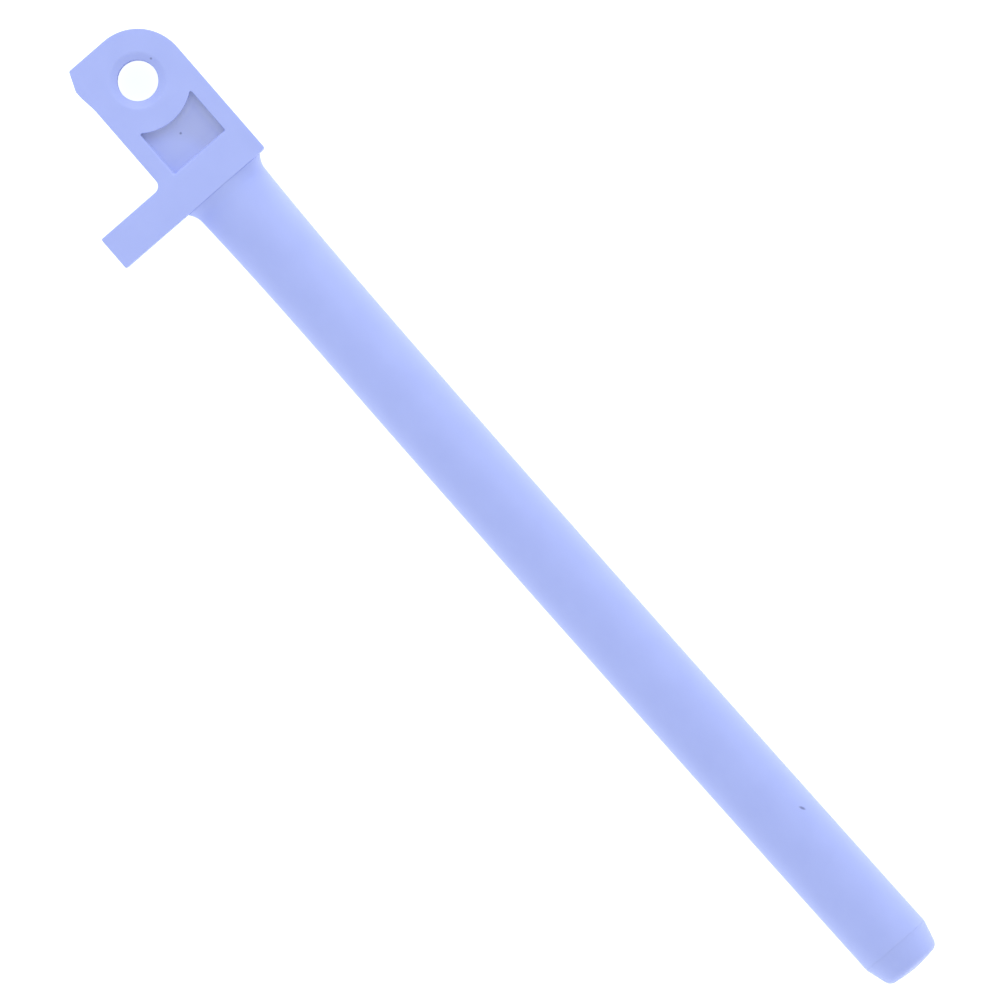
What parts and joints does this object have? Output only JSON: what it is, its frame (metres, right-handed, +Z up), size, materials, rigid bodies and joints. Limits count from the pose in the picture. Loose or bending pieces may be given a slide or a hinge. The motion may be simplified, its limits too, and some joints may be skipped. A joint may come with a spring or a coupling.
{
  "type": "periodontal probe handle",
  "caption": "Round plastic handle for a force-indicating periodontal probe, with a flat head that takes a snap-in tip and a side arm that shows the force limit.",
  "frame": {"origin": "middle of the underside of the handle's bounding box, on the surface that the head lies on", "axes": "+X along the handle from the head to the tail, +Y away from the indicator arm, +Z up out of the head's flat face"},
  "size_m": [0.1468, 0.022, 0.0114],
  "materials": {
    "plastic": "satin moulded plastic, lilac blue",
    "seal": "matte silicone rubber"
  },
  "bodies": {
    "root": {"head_block": "plastic", "grip_tube": "plastic", "tail_plug": "plastic", "head_seal": "seal", "tail_seal": "seal"}
  },
  "joints": []
}
